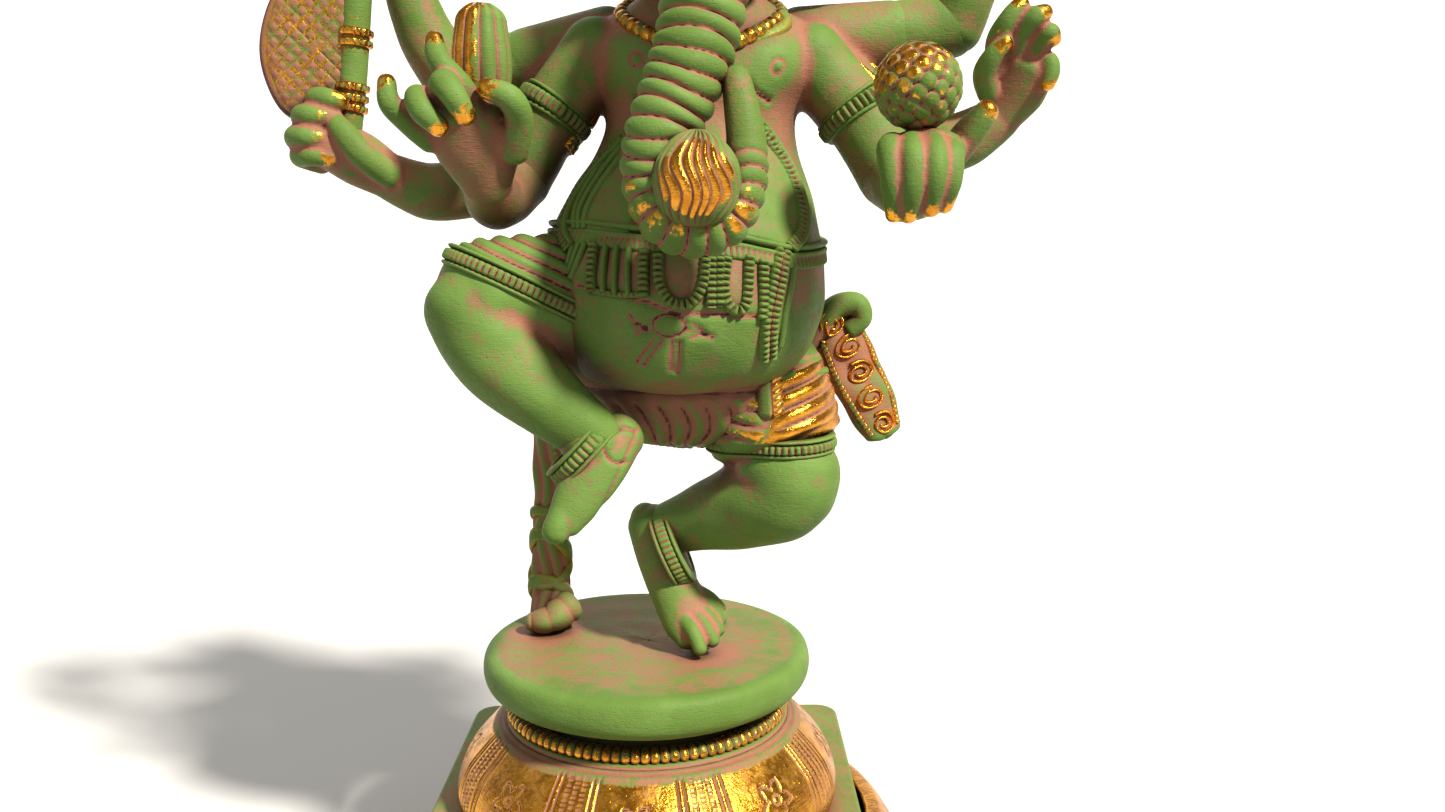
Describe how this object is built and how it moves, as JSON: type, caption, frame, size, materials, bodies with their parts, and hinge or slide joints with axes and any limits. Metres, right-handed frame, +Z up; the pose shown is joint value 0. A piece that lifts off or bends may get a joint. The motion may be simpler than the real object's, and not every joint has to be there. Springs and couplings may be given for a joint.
{
  "type": "dancing_elephant_headed_figure_statue",
  "caption": "Standing brass figure, elephant-headed and six-armed, dancing on one foot on a round plinth, bowl pedestal, square plate and bulging drum held together by a tie rod.",
  "frame": {"origin": "Centre of the foot plate's underside, on the surface that the statue stands on.", "axes": "+Z is up along the pedestal's axis. The figure faces -Y. +X is the figure's left side, which is the viewer's right."},
  "size_m": [0.2759, 0.1874, 0.4654],
  "materials": {
    "patina_brass": "green patina over a red oxide undercoat, brass showing on raised edges",
    "polished_brass": "wire-brushed and engraved brass with dark grooves",
    "plain_steel": "plain zinc-plated",
    "raw_brass": "bare drawn brass rod"
  },
  "bodies": {
    "root": {"armlets": "patina_brass", "axe_blade": "polished_brass", "axe_handle": "patina_brass", "beaded_collar": "polished_brass", "broken_tusk": "patina_brass", "crown_band": "polished_brass", "crown_finial": "polished_brass", "crown_tower": "polished_brass", "elephant_goad": "polished_brass", "flying_sash": "patina_brass", "foot_pegs": "raw_brass", "foot_plate": "patina_brass", "foot_plate_screws": "plain_steel", "head": "patina_brass", "hip_dowels": "raw_brass", "hips": "patina_brass", "left_ear": "patina_brass", "left_front_forearm": "patina_brass", "left_front_upper_arm": "patina_brass", "left_middle_forearm": "patina_brass", "left_middle_upper_arm": "patina_brass", "left_raised_forearm": "patina_brass", "left_raised_upper_arm": "patina_brass", "lower_drum": "polished_brass", "modak": "polished_brass", "neck_dowel": "raw_brass", "necklace": "patina_brass", "noose": "polished_brass", "pedestal": "polished_brass", "plinth": "patina_brass", "plinth_neck": "patina_brass", "raised_anklet": "patina_brass", "raised_foot": "patina_brass", "raised_shin": "patina_brass", "raised_thigh": "patina_brass", "right_ear": "patina_brass", "right_front_forearm": "patina_brass", "right_front_upper_arm": "patina_brass", "right_middle_forearm": "patina_brass", "right_middle_upper_arm": "patina_brass", "right_raised_forearm": "patina_brass", "right_raised_upper_arm": "patina_brass", "shoulder_dowels": "raw_brass", "small_sash": "patina_brass", "square_plate": "patina_brass", "standing_anklet": "patina_brass", "standing_foot": "patina_brass", "standing_shin": "patina_brass", "standing_thigh": "patina_brass", "support_sash": "patina_brass", "sweet_ball": "patina_brass", "tie_rod": "plain_steel", "tie_rod_nut": "plain_steel", "tie_rod_washer": "plain_steel", "torso": "patina_brass", "trunk": "patina_brass", "tusk_stub": "patina_brass", "waist_belt": "patina_brass", "whole_tusk": "patina_brass"}
  },
  "joints": []
}
